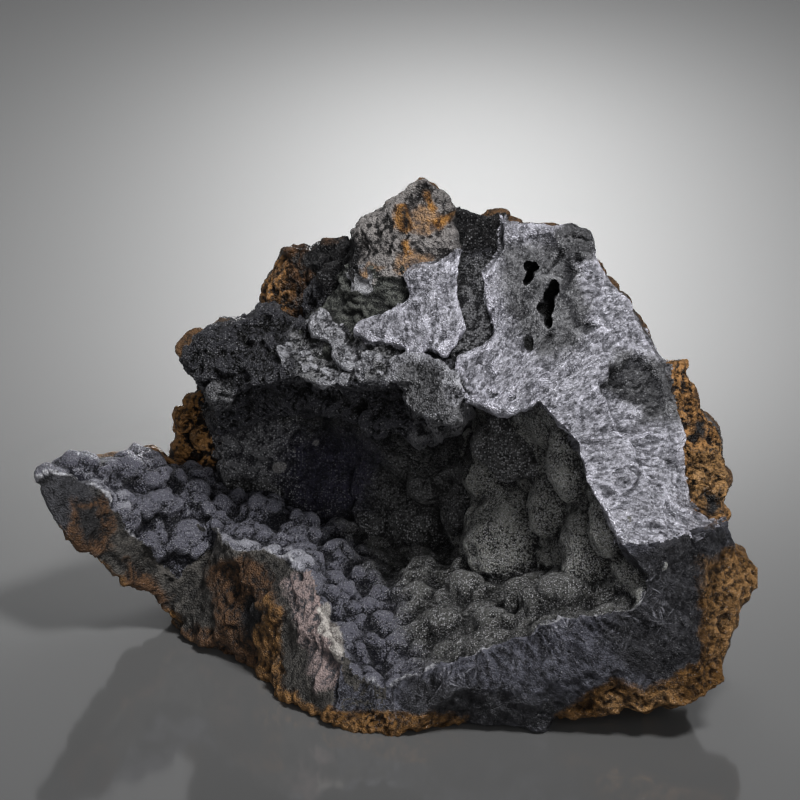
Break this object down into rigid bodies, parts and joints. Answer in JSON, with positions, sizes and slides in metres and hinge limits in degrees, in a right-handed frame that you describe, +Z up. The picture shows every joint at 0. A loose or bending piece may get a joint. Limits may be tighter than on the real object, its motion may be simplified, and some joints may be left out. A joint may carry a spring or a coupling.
{
  "type": "goethite specimen",
  "caption": "Broken lump of fibrous goethite round an open hollow lined with a botryoidal crust, with brown limonite rind.",
  "frame": {"origin": "middle of the stone's box, at the height of the surface that it rests on", "axes": "+X to the right as seen from the open front, +Y to the back, +Z up"},
  "size_m": [0.1446, 0.0996, 0.1011],
  "materials": {
    "goethite": "broken fibrous iron ore, silver grey to blue black, with a rough ochre brown rind; cast_iron stands in for iron ore",
    "botryoidal_crust": "rounded blue black lumps with a fine sparkle; cast_iron stands in for iron ore"
  },
  "bodies": {
    "root": {"goethite_stone": "goethite", "hollow_crust": "botryoidal_crust"}
  },
  "joints": []
}
